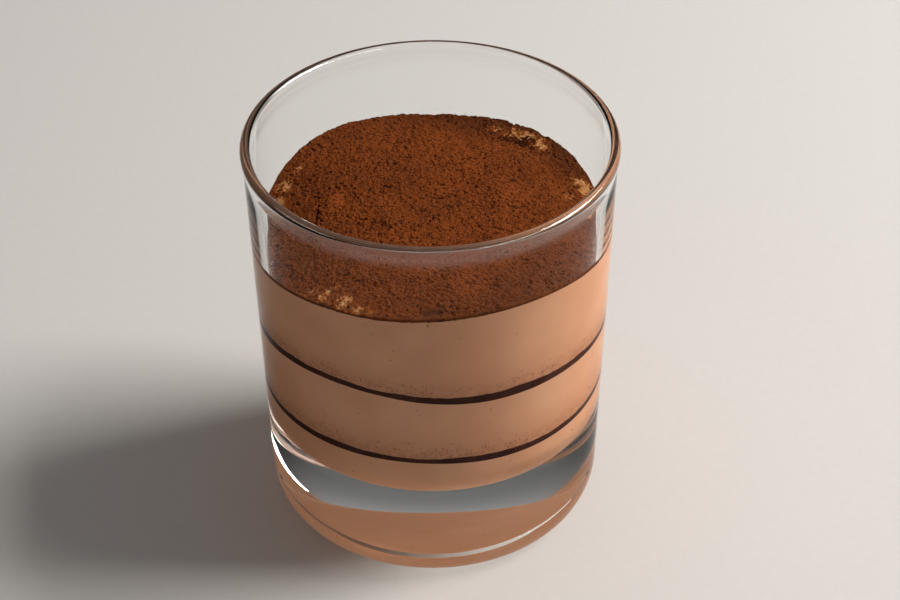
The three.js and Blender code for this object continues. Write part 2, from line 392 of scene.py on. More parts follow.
def powder_relief_tree():
    """Raises sieved powder's lumps, crumbs and pits on a surface, and keeps how deep each point lies."""
    sizes = [(name, FLOAT) for name in (
        "Lump Size", "Lump Height", "Crumb Size", "Crumb Height", "Grain Size", "Grain Height",
        "Pit Size", "Pit Depth", "Seed")]
    tree, given, result = group_tree("powder relief", "GeometryNodeTree", [GEOMETRY, *sizes], [GEOMETRY])
    here = node(tree, "GeometryNodeInputPosition").outputs[0]
    loose = node(tree, "GeometryNodeInputNamedAttribute", {"Name": "loose"}, data_type="FLOAT").outputs[0]

    def scaled(kind, size, **inputs):
        density = maths(tree, "DIVIDE", 1.0, given[size])
        wanted = {"Vector": here, "W": given["Seed"], "Scale": density, **inputs}
        dimensions = {"ShaderNodeTexNoise": "noise_dimensions", "ShaderNodeTexVoronoi": "voronoi_dimensions"}
        return node(tree, kind, wanted, **{dimensions[kind]: "4D"}).outputs[0]

    lump = maths(tree, "SUBTRACT", scaled("ShaderNodeTexNoise", "Lump Size", Detail=2.0), 0.5)
    crumb = maths(tree, "SUBTRACT", 0.5, scaled("ShaderNodeTexVoronoi", "Crumb Size"))
    grain = maths(tree, "SUBTRACT", 0.5, scaled("ShaderNodeTexVoronoi", "Grain Size"))
    pit = remap(tree, scaled("ShaderNodeTexNoise", "Pit Size", Detail=2.0, Roughness=0.6), *PIT_ENDS)
    heights = [
        maths(tree, "MULTIPLY", lump, given["Lump Height"]),
        maths(tree, "MULTIPLY", crumb, given["Crumb Height"]),
        maths(tree, "MULTIPLY", grain, given["Grain Height"]),
        maths(tree, "MULTIPLY", maths(tree, "MULTIPLY", pit, -1.0), given["Pit Depth"]),
    ]
    rise = heights[0]
    for height in heights[1:]:
        rise = maths(tree, "ADD", rise, height)
    lift = node(tree, "ShaderNodeCombineXYZ", {"Z": maths(tree, "MULTIPLY", rise, loose)}).outputs[0]
    moved = node(tree, "GeometryNodeSetPosition", {"Geometry": given["Geometry"], "Offset": lift})
    fine = maths(tree, "ADD", heights[1], maths(tree, "ADD", heights[2], heights[3]))
    kept = node(
        tree, "GeometryNodeStoreNamedAttribute",
        {"Geometry": moved.outputs[0], "Name": "rise", "Value": maths(tree, "DIVIDE", fine, MM)},
        data_type="FLOAT", domain="POINT",
    )
    tree.links.new(kept.outputs[0], result["Geometry"])
    return tree


GRAIN_SKEW = 2.5  # how far the small grains outnumber the large ones
GRAIN_SLIMNESS = 0.8  # a grain's depth over its width
GRAIN_KNOBS = 0.35 * MM  # how far apart the bulges lie that make a grain uneven


def scatter_tree(name, material, lies_flat):
    """Strews irregular grains over a surface, as thick as its "strewn" value says."""
    sizes = [(label, FLOAT) for label in ("Density", "Smallest", "Largest", "Flatness", "Roughness")]
    takes = [GEOMETRY, *sizes, ("Seed", "NodeSocketInt")]
    tree, given, result = group_tree(name, "GeometryNodeTree", takes, [GEOMETRY])
    strewn = node(tree, "GeometryNodeInputNamedAttribute", {"Name": "strewn"}, data_type="FLOAT").outputs[0]
    spots = node(tree, "GeometryNodeDistributePointsOnFaces", {
        "Mesh": given["Geometry"],
        "Density": maths(tree, "MULTIPLY", given["Density"], strewn),
        "Seed": given["Seed"],
    }, distribute_method="RANDOM")
    draw = node(tree, "FunctionNodeRandomValue", {"Seed": given["Seed"]}, data_type="FLOAT").outputs[1]
    skewed = maths(tree, "POWER", draw, GRAIN_SKEW)
    spread = maths(tree, "MULTIPLY", maths(tree, "SUBTRACT", given["Largest"], given["Smallest"]), skewed)
    size = maths(tree, "ADD", given["Smallest"], spread)
    stretch = node(tree, "ShaderNodeCombineXYZ", {
        "X": size,
        "Y": maths(tree, "MULTIPLY", size, GRAIN_SLIMNESS),
        "Z": maths(tree, "MULTIPLY", size, given["Flatness"]),
    }).outputs[0]
    if lies_flat:
        turn = spots.outputs["Rotation"]
    else:
        full_turn = (2 * math.pi,) * 3
        angles = node(tree, "FunctionNodeRandomValue", {"Max": full_turn, "Seed": given["Seed"]},
                      data_type="FLOAT_VECTOR").outputs[0]
        turn = node(tree, "FunctionNodeEulerToRotation", {"Euler": angles}).outputs[0]
    grain = node(tree, "GeometryNodeMeshIcoSphere", {"Radius": 0.5, "Subdivisions": 1})
    strewn_grains = node(tree, "GeometryNodeInstanceOnPoints", {
        "Points": spots.outputs["Points"], "Instance": grain.outputs["Mesh"],
        "Rotation": turn, "Scale": stretch,
    })
    real = node(tree, "GeometryNodeRealizeInstances", {"Geometry": strewn_grains.outputs[0]}).outputs[0]
    here = node(tree, "GeometryNodeInputPosition").outputs[0]
    knobs = {"Vector": here, "Scale": 1 / GRAIN_KNOBS, "Detail": 1.0}
    shift = node(tree, "ShaderNodeTexNoise", knobs).outputs["Color"]
    centred = vector_maths(tree, "SUBTRACT", shift, (0.5, 0.5, 0.5))
    scaled = {0: centred, "Scale": given["Roughness"]}
    push = node(tree, "ShaderNodeVectorMath", scaled, operation="SCALE").outputs[0]
    uneven = node(tree, "GeometryNodeSetPosition", {"Geometry": real, "Offset": push}).outputs[0]
    smooth = node(tree, "GeometryNodeSetShadeSmooth", {"Geometry": uneven}).outputs[0]
    coated = node(tree, "GeometryNodeSetMaterial", {"Geometry": smooth, "Material": material}).outputs[0]
    tree.links.new(coated, result["Geometry"])
    return tree


# ---- Finishes ----
def blank_material(name):
    made = bpy.data.materials.new(name)
    made.use_nodes = True
    made.node_tree.nodes.clear()
    place = node(made.node_tree, "ShaderNodeTexCoord").outputs["Object"]
    return made, made.node_tree, place


def attribute(tree, name):
    return node(tree, "ShaderNodeAttribute", attribute_name=name).outputs["Fac"]


def finish_with(tree, shader):
    node(tree, "ShaderNodeOutputMaterial", {"Surface": shader})


GLASS_IOR = 1.5
GLASS_TINT = (0.985, 0.995, 0.99)
GLASS_CALM = 0.94  # share of the wall's weaker reflections that is left out, as behind a polarising filter
CALM_ENDS = (HEIGHT - 2 * LIP_BLEND, HEIGHT - LIP_BLEND)  # heights where this fades out under the lip
MIRROR_LOSS = 0.1  # share of the light that each mirroring inside the glass takes away
WHOLLY_MIRRORED = 0.999
STRAIGHT_FACE = (0.97, 0.975, 0.97)  # what passes straight through where the wall faces the light
STRAIGHT_SIDE = (0.72, 0.75, 0.75)  # and where the light grazes it


def clear_glass():
    """Polished glass. Light on its way to the filling passes straight through, a little less at the sides."""
    made, tree, place = blank_material("clear glass")
    glossy = node(tree, "ShaderNodeBsdfPrincipled", {
        "Base Color": (*GLASS_TINT, 1), "Roughness": 0.0, "IOR": GLASS_IOR, "Transmission Weight": 1.0,
    }).outputs[0]
    calm = node(tree, "ShaderNodeBsdfRefraction", {
        "Color": (*GLASS_TINT, 1), "Roughness": 0.0, "IOR": GLASS_IOR,
    }).outputs[0]
    mirrored = node(tree, "ShaderNodeFresnel", {"IOR": GLASS_IOR}).outputs[0]
    height = node(tree, "ShaderNodeSeparateXYZ", {0: place}).outputs["Z"]
    calming = remap(tree, height, *CALM_ENDS, GLASS_CALM, 0.0)
    share = maths(tree, "MULTIPLY", maths(tree, "SUBTRACT", 1.0, mirrored), calming)
    bent = node(tree, "ShaderNodeMixShader", {0: share, 1: glossy, 2: calm}).outputs[0]
    mirror = node(tree, "ShaderNodeBsdfGlossy", {
        "Color": (1 - MIRROR_LOSS, 1 - MIRROR_LOSS, 1 - MIRROR_LOSS, 1), "Roughness": 0.0,
    }).outputs[0]
    wholly = maths(tree, "GREATER_THAN", mirrored, WHOLLY_MIRRORED)
    bent = node(tree, "ShaderNodeMixShader", {0: wholly, 1: bent, 2: mirror}).outputs[0]
    facing = node(tree, "ShaderNodeLayerWeight", {"Blend": 0.25}).outputs["Facing"]
    dimmed = mix_colour(tree, facing, STRAIGHT_FACE, STRAIGHT_SIDE)
    straight = node(tree, "ShaderNodeBsdfTransparent", {"Color": dimmed}).outputs[0]
    path = node(tree, "ShaderNodeLightPath").outputs
    goes_straight = maths(tree, "MAXIMUM", path["Is Shadow Ray"], path["Is Diffuse Ray"])
    finish_with(tree, node(tree, "ShaderNodeMixShader", {0: goes_straight, 1: bent, 2: straight}).outputs[0])
    return made


MOTTLE_FINENESS = 9.0  # how many times finer the fine unevenness is than the slow one


def mottle_group():
    """Slow and fine unevenness that creams and powders share."""
    takes = [("Vector", "NodeSocketVector"), ("Size", FLOAT), ("Seed", FLOAT)]
    tree, given, result = group_tree("mottle", "ShaderNodeTree", takes, [("Slow", FLOAT), ("Fine", FLOAT)])
    for label, times in (("Slow", 1.0), ("Fine", MOTTLE_FINENESS)):
        density = maths(tree, "DIVIDE", times, given["Size"])
        wanted = {"Vector": given["Vector"], "W": given["Seed"], "Scale": density, "Detail": 3.0}
        pattern = node(tree, "ShaderNodeTexNoise", wanted, noise_dimensions="4D").outputs[0]
        tree.links.new(remap(tree, pattern, 0.3, 0.7), result[label])
    return tree


def mottled(tree, group, place, size, seed):
    made = node(tree, "ShaderNodeGroup", node_tree=group)
    tree.links.new(place, made.inputs["Vector"])
    made.inputs["Size"].default_value = size
    made.inputs["Seed"].default_value = seed
    return made.outputs["Slow"], made.outputs["Fine"]


CREAM_PALE = (0.76, 0.388, 0.222)
CREAM_DEEP = (0.69, 0.33, 0.178)
CREAM_STAIN = (0.42, 0.145, 0.055)
CREAM_PORE = (0.25, 0.07, 0.028)
# Marks on the wall side of the cream, in millimetres: x, y, z, reach and strength.
CREAM_MARKS = [
    (31.5, -16.0, 39.5, 3.2, 0.5), (22.8, -29.6, 62.5, 0.9, 0.35), (26.5, -26.0, 60.8, 0.7, 0.25),
]
CREAM_SWIRL = 16 * MM
STAIN_NEAR = 5.5  # mm over a seam that the freckled part of its stain reaches
WASH_FAR = 11.0  # mm over a seam that the wider, paler darkening reaches
STAIN_FADE = 1.4
PORE_DRIFT = 9 * MM
SMALL_PORE = {"cell": 0.6 * MM, "radius": 0.45, "seed": 0.05}
LARGE_PORE = {"cell": 1.1 * MM, "radius": 0.4, "seed": 0.07}
LARGE_PORE_SHARE = 0.4
STRAY_PORES = 0.02  # chance of a pore far from a seam
PORE_STRENGTH = 0.5


def mascarpone(mottle):
    """Coffee-beige cream: soft swirls, a freckled brown stain just over each cocoa seam, a wider darkening
    that fades upwards from the seam, and tiny brown pores.
    """
    made, tree, place = blank_material("mascarpone cream")
    slow, fine = mottled(tree, mottle, place, CREAM_SWIRL, 2.0)
    colour = mix_colour(tree, slow, CREAM_DEEP, CREAM_PALE)
    colour = mix_colour(tree, maths(tree, "MULTIPLY", fine, 0.12), colour, CREAM_DEEP)
    above = attribute(tree, "above_seam")
    near = maths(tree, "POWER", remap(tree, above, STAIN_NEAR, 0.0), STAIN_FADE)
    # A wider, paler darkening that fades upwards over each seam.
    swirled = maths(tree, "MULTIPLY_ADD", slow, 0.12, 0.24)
    soaked = maths(tree, "MULTIPLY", remap(tree, above, WASH_FAR, 0.0), swirled)
    stain = maths(tree, "MULTIPLY_ADD", near, maths(tree, "MULTIPLY_ADD", fine, 0.35, 0.1), soaked)
    for x, y, z, reach, strength in CREAM_MARKS:
        apart = vector_maths(tree, "DISTANCE", place, (x * MM, y * MM, z * MM), output=1)
        mark = maths(tree, "MULTIPLY", remap(tree, apart, reach * MM, 0.0), strength)
        stain = maths(tree, "MAXIMUM", stain, maths(tree, "MULTIPLY", mark, maths(tree, "ADD", fine, 0.4)))
    colour = mix_colour(tree, stain, colour, CREAM_STAIN)
    drift = remap(tree, noise(tree, place, PORE_DRIFT, seed=8.0), 0.48, 0.66)
    crowd = maths(tree, "MULTIPLY_ADD", drift, 0.75, 0.25)
    strays = maths(tree, "MULTIPLY", drift, STRAY_PORES)
    chance = maths(tree, "ADD", maths(tree, "MULTIPLY", near, crowd), strays)
    small = dots(tree, place, chance, **SMALL_PORE)
    large = dots(tree, place, maths(tree, "MULTIPLY", chance, LARGE_PORE_SHARE), **LARGE_PORE)
    pores = maths(tree, "MAXIMUM", small, large)
    colour = mix_colour(tree, maths(tree, "MULTIPLY", pores, PORE_STRENGTH), colour, CREAM_PORE)
    bump = node(tree, "ShaderNodeBump", {
        "Height": maths(tree, "SUBTRACT", noise(tree, place, 0.8 * MM, seed=3.0), pores),
        "Distance": 0.05 * MM, "Strength": 0.6,
    }).outputs[0]
    finish_with(tree, node(tree, "ShaderNodeBsdfPrincipled", {
        "Base Color": colour, "Roughness": 0.5, "Normal": bump, "Specular IOR Level": 0.3,
        "Subsurface Weight": 0.25, "Subsurface Radius": (1.0, 0.55, 0.3), "Subsurface Scale": 1.5 * MM,
    }).outputs[0])
    return made


SOAKED_DEEP = (0.026, 0.005, 0.003)
SOAKED_MID = (0.052, 0.009, 0.004)
SOAKED_THIN = (0.075, 0.020, 0.010)


def wet_cocoa(mottle):
    """Cocoa soaked by the cream round it: nearly black, with a reddish cast where it is thin."""
    made, tree, place = blank_material("wet cocoa")
    slow, fine = mottled(tree, mottle, place, 5 * MM, 4.0)
    colour = mix_colour(tree, slow, SOAKED_DEEP, SOAKED_MID)
    colour = mix_colour(tree, maths(tree, "MULTIPLY", fine, 0.4), colour, SOAKED_THIN)
    bump = node(tree, "ShaderNodeBump", {"Height": fine, "Distance": 0.1 * MM, "Strength": 0.5}).outputs[0]
    finish_with(tree, node(tree, "ShaderNodeBsdfPrincipled", {
        "Base Color": colour, "Roughness": 0.6, "Normal": bump, "Specular IOR Level": 0.1,
    }).outputs[0])
    return made


# The pit colour is painted shade, for the pits and for the gaps between grains.
POWDER_PIT_SHADE = (0.014, 0.004, 0.002)
POWDER_DEEP = (0.115, 0.0235, 0.003)
POWDER_MID = (0.185, 0.0385, 0.0048)
# Painted highlight: the pale colour of the specks that stand for lit grain tops.
POWDER_HIGHLIGHT = (0.33, 0.084, 0.012)
# Darkened cocoa: painted shade where the powder touches the wall and in cracks, and the darker band along the
# back wall.
POWDER_DARKENED = (0.036, 0.010, 0.004)
FLAKE_HALO = (0.31, 0.090, 0.020)
FLAKE_PALE = (0.50, 0.235, 0.085)
POWDER_CLOUDS = 9 * MM
HIGHLIGHT_SPECK_SIZE = 0.24 * MM
HIGHLIGHT_SPECK_STRENGTH = 0.45
GAP_SIZE = 0.3 * MM
GAP_STRENGTH = 0.55
PIT_FLOOR = -0.45  # mm of fine relief at which the painted shade in a pit is darkest
STREAK_SIZE = 1.1 * MM
SPECK_SIZE = 0.55 * MM
PATCH_SIZE = 2.4 * MM
HALO_ENDS = (0.94, 1.08)
PALE_ENDS = (1.07, 1.15)
POWDER_GRAIN = 0.26 * MM


def bare_flakes(tree, place, colour):
    """Ragged flakes where the cream shows through: a tan halo with a pale middle."""
    streaks = ridges(tree, noise(tree, place, STREAK_SIZE, 3.0, 0.6, seed=21.0))
    specks = noise(tree, place, SPECK_SIZE, 2.0, 0.6, seed=23.0)
    flakes = maths(tree, "MULTIPLY_ADD", streaks, 0.45, maths(tree, "MULTIPLY", specks, 0.7))
    broken = remap(tree, noise(tree, place, PATCH_SIZE, 2.0, seed=25.0), 0.36, 0.6, 0.45, 1.15)
    bare = maths(tree, "MULTIPLY", attribute(tree, "bare"), broken)
    showing = maths(tree, "MULTIPLY_ADD", bare, 0.5, flakes)
    colour = mix_colour(tree, remap(tree, showing, *HALO_ENDS), colour, FLAKE_HALO)
    return mix_colour(tree, remap(tree, showing, *PALE_ENDS), colour, FLAKE_PALE)


def cocoa_powder(name, mottle, uses_rise):
    """Dry cocoa: brown slopes, with painted shade in its pits and in the gaps between its grains, and paler
    specks that are a painted highlight on the grains.
    """
    made, tree, place = blank_material(name)
    slow, fine = mottled(tree, mottle, place, POWDER_CLOUDS, 6.0)
    colour = mix_colour(tree, slow, POWDER_DEEP, POWDER_MID)
    colour = mix_colour(tree, maths(tree, "MULTIPLY", fine, 0.4), colour, POWDER_MID)
    # Pale specks: a painted highlight on the grains.
    highlight_specks = remap(tree, noise(tree, place, HIGHLIGHT_SPECK_SIZE, 1.0, seed=9.0), 0.45, 0.66)
    colour = mix_colour(tree, maths(tree, "MULTIPLY", highlight_specks, HIGHLIGHT_SPECK_STRENGTH), colour, POWDER_HIGHLIGHT)
    # Dark gaps: painted shade between the grains.
    gaps = remap(tree, noise(tree, place, GAP_SIZE, 1.0, seed=17.0), 0.42, 0.32)
    colour = mix_colour(tree, maths(tree, "MULTIPLY", gaps, GAP_STRENGTH), colour, POWDER_PIT_SHADE)
    if uses_rise:
        # Painted shade: darker where the fine relief lies low, in the pits.
        colour = mix_colour(tree, remap(tree, attribute(tree, "rise"), 0.0, PIT_FLOOR), colour, POWDER_PIT_SHADE)
        # Painted shade where the powder touches the wall and in cracks, and a darker band along the back
        # wall.
        clouded = maths(tree, "MULTIPLY_ADD", slow, 0.25, 0.6)
        dark_share = maths(tree, "MULTIPLY", attribute(tree, "darkening"), clouded)
        colour = mix_colour(tree, dark_share, colour, POWDER_DARKENED)
        colour = bare_flakes(tree, place, colour)
    bump = node(tree, "ShaderNodeBump", {
        "Height": noise(tree, place, POWDER_GRAIN, 2.0, seed=1.0), "Distance": 0.25 * MM, "Strength": 1.0,
    }).outputs[0]
    finish_with(tree, node(tree, "ShaderNodeBsdfPrincipled", {
        "Base Color": colour, "Roughness": 0.95, "Normal": bump, "Specular IOR Level": 0.08,
    }).outputs[0])
    return made


FLOOR_DEEP = (0.60, 0.575, 0.55)
FLOOR_PALE = (0.64, 0.615, 0.59)


def pale_floor():
    made, tree, place = blank_material("pale floor")
    grain = noise(tree, place, 2 * MM, 2.0)
    colour = mix_colour(tree, grain, FLOOR_DEEP, FLOOR_PALE)
    finish_with(tree, node(tree, "ShaderNodeBsdfPrincipled", {
        "Base Color": colour, "Roughness": 0.9, "Specular IOR Level": 0.1,
    }).outputs[0])
    return made


# ---- The tumbler ----
ROUNDING_STEPS = 28  # rows over the heel's quarter round and over the lip's half round


def arc(centre, half_width, half_height, start, end, steps):
    angle = np.radians(np.linspace(start, end, steps + 1))
    return np.column_stack([centre[0] + half_width * np.cos(angle), centre[1] + half_height * np.sin(angle)])


def soft_corner(before, corner, after, reach, steps=6):
    before, corner, after = (np.array(point) for point in (before, corner, after))
    start = corner + reach * (before - corner) / np.linalg.norm(before - corner)
    end = corner + reach * (after - corner) / np.linalg.norm(after - corner)
    share = np.linspace(0, 1, steps + 1)[:, None]
    return (1 - share) ** 2 * start + 2 * share * (1 - share) * corner + share**2 * end


def recess_profile():
    step_end = STEP_RADIUS + STEP_RUN
    radius = np.concatenate([
        np.linspace(0, STEP_RADIUS, 26)[1:], np.linspace(STEP_RADIUS, step_end, 9)[1:],
        np.linspace(step_end, RECESS_RADIUS - EDGE_SOFTNESS, 10)[1:],
    ])
    down = np.clip((radius - STEP_RADIUS) / STEP_RUN, 0, 1)
    step = STEP_RISE * (1 - down**2 * (3 - 2 * down))
    dome = RECESS_DEPTH * (1 - (radius / RECESS_RADIUS) ** 2) + step
    edge, ring_end = (RECESS_RADIUS, 0), (RECESS_RADIUS + 2 * EDGE_SOFTNESS, 0)
    return [
        np.column_stack([radius, dome])[:-1],
        soft_corner((radius[-1], dome[-1]), edge, ring_end, EDGE_SOFTNESS),
    ]


def outside_profile():
    heel_radius = outer_radius(HEEL_HEIGHT) - HEEL_WIDTH
    lip_half = (RIM_RADIUS - inner_radius(HEIGHT)) / 2
    lip_centre = HEIGHT - lip_half
    wall_top = lip_centre - LIP_BLEND
    wall = np.linspace(HEEL_HEIGHT, wall_top, 26)[1:]
    blend = np.linspace(wall_top, lip_centre, 13)[1:-1]
    swell = (blend - wall_top) / LIP_BLEND
    swell = swell**2 * (3 - 2 * swell)
    blend_radius = outer_radius(blend) + (RIM_RADIUS - outer_radius(blend)) * swell
    ring = np.linspace(RECESS_RADIUS + 3 * EDGE_SOFTNESS, heel_radius, 4)
    return [
        np.column_stack([ring, 0 * ring])[:-1],
        arc((heel_radius, HEEL_HEIGHT), HEEL_WIDTH, HEEL_HEIGHT, -90, 0, ROUNDING_STEPS),
        np.column_stack([outer_radius(wall), wall]),
        np.column_stack([blend_radius, blend]),
        arc((RIM_RADIUS - lip_half, lip_centre), lip_half, lip_half, 0, 180, ROUNDING_STEPS),
    ]


def floor_corner(offset, steps=20):
    """The cavity's rounded bottom corner, moved inwards by an offset, from the wall down to the floor."""
    top = CAVITY_FLOOR + FLOOR_FILLET
    reach = FLOOR_FILLET - offset
    return arc((inner_radius(top) - FLOOR_FILLET, top), reach, reach, 0, -90, steps)


def inside_profile():
    lip_half = (RIM_RADIUS - inner_radius(HEIGHT)) / 2
    wall = np.linspace(HEIGHT - lip_half, CAVITY_FLOOR + FLOOR_FILLET, 44)[1:-1]
    corner = floor_corner(0)
    floor = np.linspace(corner[-1, 0], 0, 8)[1:-1]
    return [
        np.column_stack([inner_radius(wall), wall]),
        corner,
        np.column_stack([floor, np.full(len(floor), CAVITY_FLOOR)]),
    ]


def make_tumbler(material):
    skin = Skin()
    bottom = skin.pole(RECESS_DEPTH + STEP_RISE)
    profile = np.vstack([*recess_profile(), *outside_profile(), *inside_profile()])
    rows = [skin.ring(radius, height, GLASS_COLUMNS) for radius, height in profile]
    top = skin.pole(CAVITY_FLOOR)
    skin.fan(rows[0], bottom, faces_up=False)
    for low, high in zip(rows, rows[1:]):
        skin.band(low, high)
    skin.fan(rows[-1], top, faces_up=True)
    return show(skin.mesh("tumbler"), material)


# ---- The dessert ----
# How thick each seam is at the wall, as (bearing in degrees, millimetres).
SEAM_THICKNESS = {
    "lower": [(-90, 1.5), (-60, 1.65), (-30, 1.8), (-4, 1.2), (20, 2.0), (50, 1.55), (90, 1.3), (180, 1.4)],
    "upper": [(-90, 1.9), (-55, 1.9), (-24, 1.25), (-4, 1.75), (22, 2.3), (45, 2.0), (70, 1.5), (180, 1.4)],
}
SEAM_BUMPS = {"lower": (21, 0.18 * MM), "upper": (22, 0.22 * MM)}  # seed and height
SEAM_BLUR = (-8, -4, 0, 4, 8)  # degrees over which the thickness is evened out
THINNEST_SEAM = 0.3 * MM


def seam_edges(which, edge, bearing):
    """Heights of a seam's smooth lower edge and bumpy upper edge at the wall."""
    at, thickness = np.array(SEAM_THICKNESS[which]).T
    turned = np.degrees(bearing)
    total = sum(np.interp(turned + shift, at, thickness, period=360) for shift in SEAM_BLUR)
    half = total / (2 * len(SEAM_BLUR)) * MM
    middle = waves_at(edge, bearing)
    seed, bump = SEAM_BUMPS[which]
    low = middle - half + ragged(bearing, seed + 10, bump / 4)
    high = middle + half + ragged(bearing, seed, bump)
    return low, np.maximum(high, low + THINNEST_SEAM)


# Rows up a band of cream, as shares of its height: close over the seam, where the stain fades.
BAND_ROWS = (0, 0.02, 0.05, 0.09, 0.14, 0.2, 0.28, 0.4, 0.55, 0.7, 0.85)
SEAM_ROWS = (0, 0.5, 1)


def stack_rows(low, high, shares):
    return [low + (high - low) * share for share in shares]


def make_layer(name, low, high, shares, material):
    """A disc of the dessert that fills the glass between two wavy heights at the wall."""
    skin = Skin()
    bottom = skin.pole(float(np.mean(low)))
    rows = [skin.ring(inner_radius(z) + SINK, z, CREAM_COLUMNS) for z in stack_rows(low, high, shares)]
    top = skin.pole(float(np.mean(high)))
    skin.fan(rows[0], bottom, faces_up=False)
    for lower_row, upper_row in zip(rows, rows[1:]):
        skin.band(lower_row, upper_row)
    skin.fan(rows[-1], top, faces_up=True)
    return show(skin.mesh(name, CREASE), material)


def make_bottom_band(high, material):
    skin = Skin()
    floor = skin.pole(CAVITY_FLOOR - SINK)
    corner = floor_corner(-SINK)[::-1]
    rows = [skin.ring(radius, height, CREAM_COLUMNS) for radius, height in corner]
    low = np.full(CREAM_COLUMNS, corner[-1, 1])
    rows += [skin.ring(inner_radius(z) + SINK, z, CREAM_COLUMNS) for z in stack_rows(low, high, (0.5, 1))]
    top = skin.pole(float(np.mean(high)))
    skin.fan(rows[0], floor, faces_up=False)
    for lower_row, upper_row in zip(rows, rows[1:]):
        skin.band(lower_row, upper_row)
    skin.fan(rows[-1], top, faces_up=True)
    return show(skin.mesh("mascarpone_lower", CREASE), material)


def cream_crown(radius, bearing):
    """The cream under the cocoa."""
    share = np.clip(radius / inner_radius(COCOA_EDGE["level"]), 0, 1)
    cover = COCOA_AT_MIDDLE + (COCOA_AT_WALL - COCOA_AT_MIDDLE) * share**COVER_FULLNESS
    return crown_at(radius, bearing) + lumps_at(radius, bearing) - cover


def make_top_band(low, material):
    skin = Skin()
    bottom = skin.pole(float(np.mean(low)))

    def wall(bearing):
        return inner_radius(waves_at(COCOA_EDGE, bearing)) + SINK

    high = waves_at(COCOA_EDGE, bearings(CREAM_COLUMNS))
    rows = [skin.ring(inner_radius(z) + SINK, z, CREAM_COLUMNS) for z in stack_rows(low, high, BAND_ROWS)]
    rows.append(skin.quilt(CREAM_RINGS, wall, cream_crown))
    skin.fan(rows[0], bottom, faces_up=False)
    for lower_row, upper_row in zip(rows, rows[1:]):
        skin.band(lower_row, upper_row)
    return show(skin.mesh("mascarpone_upper", CREASE), material)


FAR_FROM_SEAM = 99  # mm, for a band with no seam under it


def keep_above(piece, seam_top=None):
    """Keeps how many millimetres each point lies above the seam under it."""
    _, bearing, _, _, z = places(piece.data)
    above = (z - seam_top(bearing)) / MM if seam_top else FAR_FROM_SEAM + 0 * z
    keep_values(piece.data, "above_seam", above)


POWDER_SINK = SINK + 0.02 * MM  # a little more than the cream's, so that the powder hides its edge


def clinging(bearing):
    """How far the ragged edge stands over or under its even line at the wall."""
    fine_waves = ragged(3 * bearing, 42, 0.16 * MM) + ragged(5 * bearing, 44, 0.1 * MM)
    return ragged(bearing, 41, 0.14 * MM) + fine_waves * (0.6 + 0.6 * beside(BANK, bearing))


def blanket_edge(bearing):
    return inner_radius(waves_at(COCOA_EDGE, bearing) + COCOA_AT_WALL) + POWDER_SINK


def blanket_top(radius, bearing):
    x, y = radius * np.sin(bearing), -radius * np.cos(bearing)
    from_wall = blanket_edge(bearing) - radius
    across = np.exp(-((from_wall / BANK["width"] - GROOVE_AT) ** 2) / GROOVE_SPREAD)
    groove = BANK["height"] * beside(BANK, bearing) * across
    edge = clinging(bearing) * np.exp(-from_wall / CLING_DEPTH)
    sunk = BARE_SINK * bareness_at(x, y) + cracks_at(x, y) * MM + groove
    return crown_at(radius, bearing) + lumps_at(radius, bearing) + edge - sunk


def describe_powder(mesh):
    """Keeps how loose, how darkened, how strewn and how bare each point of the cocoa is. The darkening is
    painted shade where the powder touches the wall and in its cracks, with a darker band along the back wall.
    """
    radius, bearing, x, y, z = places(mesh)
    from_wall = inner_radius(COCOA_EDGE["level"]) - radius
    bare, cracked = bareness_at(x, y), cracks_at(x, y)
    on_top = z > crown_at(radius, bearing) - 0.9 * COCOA_AT_WALL - BANK["height"]
    on_top &= radius > 0.1 * MM
    loose = np.clip(LOOSE_AT_WALL + from_wall / LOOSE_REACH, LOOSE_AT_WALL, 1) * np.clip(1 - cracked, 0, 1)
    keep_values(mesh, "loose", np.where(on_top, loose, 0))
    # Painted shade where the powder touches the wall and in its cracks, and a darker band along the back
    # wall.
    side = SIDE_SHADE + (1 - SIDE_SHADE) * beside(BANK, bearing)
    at_wall = np.clip(1 - from_wall / SIDE_SHADE_REACH, 0, 1) * side
    at_back = DARK_AT_BACK * beside(BANK, bearing) * np.clip(1 - from_wall / DARK_BACK_REACH, 0, 1) ** 0.7
    at_back = at_back * (1 - bare)
    darkening = np.clip(np.maximum(at_wall, at_back) + CRACK_SHADE * cracked, 0, 1)
    keep_values(mesh, "darkening", np.where(on_top, darkening, SIDE_SHADE))
    strewn = np.clip(from_wall / (0.3 * MM), 0, 1) * np.clip(1 - 1.1 * bare, 0, 1)
    strewn = strewn * (1 - 0.6 * np.clip(at_back, 0, 1))
    keep_values(mesh, "strewn", np.where(on_top & (cracked < 0.2), strewn, 0))
    keep_values(mesh, "bare", bare)


def powder_mesh():
    """The coat of cocoa before its relief."""
    skin = Skin()
    round_wall = bearings(COCOA_COLUMNS)
    edge = waves_at(COCOA_EDGE, round_wall) - 0.05 * MM - np.abs(ragged(2 * round_wall, 43, 0.24 * MM))
    bottom = skin.pole(CROWN_HEIGHT - 2 * COCOA_AT_MIDDLE)
    low = skin.ring(inner_radius(edge) + POWDER_SINK, edge, COCOA_COLUMNS)
    rim = skin.quilt(COCOA_RINGS, blanket_edge, blanket_top)
    skin.fan(low, bottom, faces_up=False)
    skin.band(low, rim)
    made = skin.mesh("cocoa_blanket")
    describe_powder(made)
    return made


